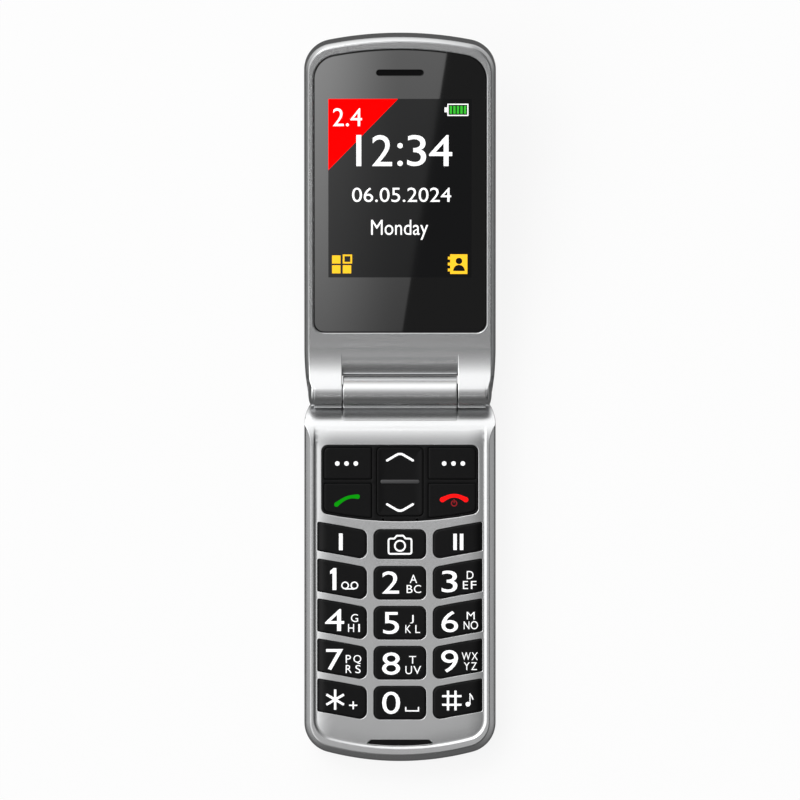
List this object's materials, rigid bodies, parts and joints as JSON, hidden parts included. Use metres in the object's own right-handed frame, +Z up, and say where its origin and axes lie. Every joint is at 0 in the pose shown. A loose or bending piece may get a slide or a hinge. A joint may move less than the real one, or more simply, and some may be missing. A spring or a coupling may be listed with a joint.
{
  "type": "flip phone",
  "caption": "Open clamshell phone on its back: a long display half turns on a barrel hinge above a keypad half with sprung keys, a rocker and a slide-off battery cover.",
  "frame": {"origin": "centre of the flat back face of the keypad half, on the surface that the phone lies on", "axes": "+X to the right of the keypad, +Y from the keypad end towards the hinge and the display, +Z up, out of the keypad"},
  "size_m": [0.05, 0.1902, 0.0354],
  "materials": {
    "silver_front": "satin silver metallic paint on moulded plastic",
    "silver_rear": "satin silver metallic paint on moulded plastic",
    "silver_cap": "satin silver metallic paint on moulded plastic",
    "lens_black": "polished clear panel with a black printed border",
    "display_face": "display under a polished panel",
    "nav_black": "semi-gloss black",
    "key_charcoal": "satin charcoal with white printed legends",
    "black_trim": "semi-gloss black",
    "grey_rubber": "moulded silicone rubber",
    "battery_sleeve": "flat can in a bare grey sleeve",
    "board_green": "solder mask",
    "tinned_steel": "tinned sheet",
    "steel": "plain steel",
    "gold_contact": "gold-plated contacts",
    "flex_amber": "polyimide film",
    "flash_white": "clear-white moulding"
  },
  "bodies": {
    "base": {"base_front_housing": "silver_front", "base_rear_housing": "silver_rear", "nav_bezel": "nav_black", "keypad_mat": "grey_rubber", "dome_sheet": "tinned_steel", "main_board": "board_green", "board_shields": "tinned_steel", "sim_holder": "tinned_steel", "battery": "battery_sleeve", "battery_contacts": "gold_contact", "loudspeaker": "black_trim", "speaker_mesh": "steel", "microphone": "grey_rubber", "mic_slot_insert": "black_trim", "usb_socket": "steel", "antenna": "gold_contact", "base_screws": "steel", "hinge_module": "steel", "hinge_follower": "steel", "hinge_spring": "steel", "main_flex": "flex_amber"},
    "flip": {"flip_outer_cover": "silver_rear", "flip_inner_frame": "silver_front", "display_lens": "lens_black", "display_module": "display_face", "flip_board": "board_green", "earpiece": "tinned_steel", "earpiece_mesh": "black_trim", "vibration_motor": "steel", "camera_module": "black_trim", "camera_window": "black_trim", "flash_led": "flash_white", "flip_magnet": "steel", "flip_screws": "steel", "hinge_cap_left": "silver_cap", "hinge_cap_right": "silver_cap", "hinge_shaft": "steel", "hinge_bush": "black_trim", "display_flex": "flex_amber"},
    "battery_cover": {"battery_cover": "silver_rear"},
    "soft_key_left": {"soft_key_left": "key_charcoal"},
    "soft_key_right": {"soft_key_right": "key_charcoal"},
    "call_key": {"call_key": "key_charcoal"},
    "end_key": {"end_key": "key_charcoal"},
    "nav_rocker": {"nav_rocker": "key_charcoal"},
    "key_m1": {"key_m1": "key_charcoal"},
    "key_camera": {"key_camera": "key_charcoal"},
    "key_m2": {"key_m2": "key_charcoal"},
    "key_1": {"key_1": "key_charcoal"},
    "key_2": {"key_2": "key_charcoal"},
    "key_3": {"key_3": "key_charcoal"},
    "key_4": {"key_4": "key_charcoal"},
    "key_5": {"key_5": "key_charcoal"},
    "key_6": {"key_6": "key_charcoal"},
    "key_7": {"key_7": "key_charcoal"},
    "key_8": {"key_8": "key_charcoal"},
    "key_9": {"key_9": "key_charcoal"},
    "key_star": {"key_star": "key_charcoal"},
    "key_0": {"key_0": "key_charcoal"},
    "key_hash": {"key_hash": "key_charcoal"}
  },
  "joints": [
    {"name": "flip_hinge", "type": "hinge", "parent": "base", "child": "flip", "pos_m": [0, 0.04825, 0.0113], "axis": [1, 0, 0], "range_deg": [0, 165]},
    {"name": "battery_cover_slide", "type": "slide", "parent": "base", "child": "battery_cover", "axis": [0, -1, 0], "range_m": [0, 0.07]},
    {"name": "nav_rocker_tilt", "type": "hinge", "parent": "base", "child": "nav_rocker", "pos_m": [0, 0.02482, 0.0094], "axis": [1, 0, 0], "range_deg": [-2, 2], "stiffness_Nm_per_rad": 0.2},
    {"name": "soft_key_left_press", "type": "slide", "parent": "base", "child": "soft_key_left", "axis": [0, 0, -1], "range_m": [0, 0.00035], "stiffness_N_per_m": 1000},
    {"name": "soft_key_right_press", "type": "slide", "parent": "base", "child": "soft_key_right", "axis": [0, 0, -1], "range_m": [0, 0.00035], "stiffness_N_per_m": 1000},
    {"name": "call_key_press", "type": "slide", "parent": "base", "child": "call_key", "axis": [0, 0, -1], "range_m": [0, 0.00035], "stiffness_N_per_m": 1000},
    {"name": "end_key_press", "type": "slide", "parent": "base", "child": "end_key", "axis": [0, 0, -1], "range_m": [0, 0.00035], "stiffness_N_per_m": 1000},
    {"name": "key_m1_press", "type": "slide", "parent": "base", "child": "key_m1", "axis": [0, 0, -1], "range_m": [0, 0.00035], "stiffness_N_per_m": 1000},
    {"name": "key_camera_press", "type": "slide", "parent": "base", "child": "key_camera", "axis": [0, 0, -1], "range_m": [0, 0.00035], "stiffness_N_per_m": 1000},
    {"name": "key_m2_press", "type": "slide", "parent": "base", "child": "key_m2", "axis": [0, 0, -1], "range_m": [0, 0.00035], "stiffness_N_per_m": 1000},
    {"name": "key_1_press", "type": "slide", "parent": "base", "child": "key_1", "axis": [0, 0, -1], "range_m": [0, 0.00035], "stiffness_N_per_m": 1000},
    {"name": "key_2_press", "type": "slide", "parent": "base", "child": "key_2", "axis": [0, 0, -1], "range_m": [0, 0.00035], "stiffness_N_per_m": 1000},
    {"name": "key_3_press", "type": "slide", "parent": "base", "child": "key_3", "axis": [0, 0, -1], "range_m": [0, 0.00035], "stiffness_N_per_m": 1000},
    {"name": "key_4_press", "type": "slide", "parent": "base", "child": "key_4", "axis": [0, 0, -1], "range_m": [0, 0.00035], "stiffness_N_per_m": 1000},
    {"name": "key_5_press", "type": "slide", "parent": "base", "child": "key_5", "axis": [0, 0, -1], "range_m": [0, 0.00035], "stiffness_N_per_m": 1000},
    {"name": "key_6_press", "type": "slide", "parent": "base", "child": "key_6", "axis": [0, 0, -1], "range_m": [0, 0.00035], "stiffness_N_per_m": 1000},
    {"name": "key_7_press", "type": "slide", "parent": "base", "child": "key_7", "axis": [0, 0, -1], "range_m": [0, 0.00035], "stiffness_N_per_m": 1000},
    {"name": "key_8_press", "type": "slide", "parent": "base", "child": "key_8", "axis": [0, 0, -1], "range_m": [0, 0.00035], "stiffness_N_per_m": 1000},
    {"name": "key_9_press", "type": "slide", "parent": "base", "child": "key_9", "axis": [0, 0, -1], "range_m": [0, 0.00035], "stiffness_N_per_m": 1000},
    {"name": "key_star_press", "type": "slide", "parent": "base", "child": "key_star", "axis": [0, 0, -1], "range_m": [0, 0.00035], "stiffness_N_per_m": 1000},
    {"name": "key_0_press", "type": "slide", "parent": "base", "child": "key_0", "axis": [0, 0, -1], "range_m": [0, 0.00035], "stiffness_N_per_m": 1000},
    {"name": "key_hash_press", "type": "slide", "parent": "base", "child": "key_hash", "axis": [0, 0, -1], "range_m": [0, 0.00035], "stiffness_N_per_m": 1000}
  ]
}
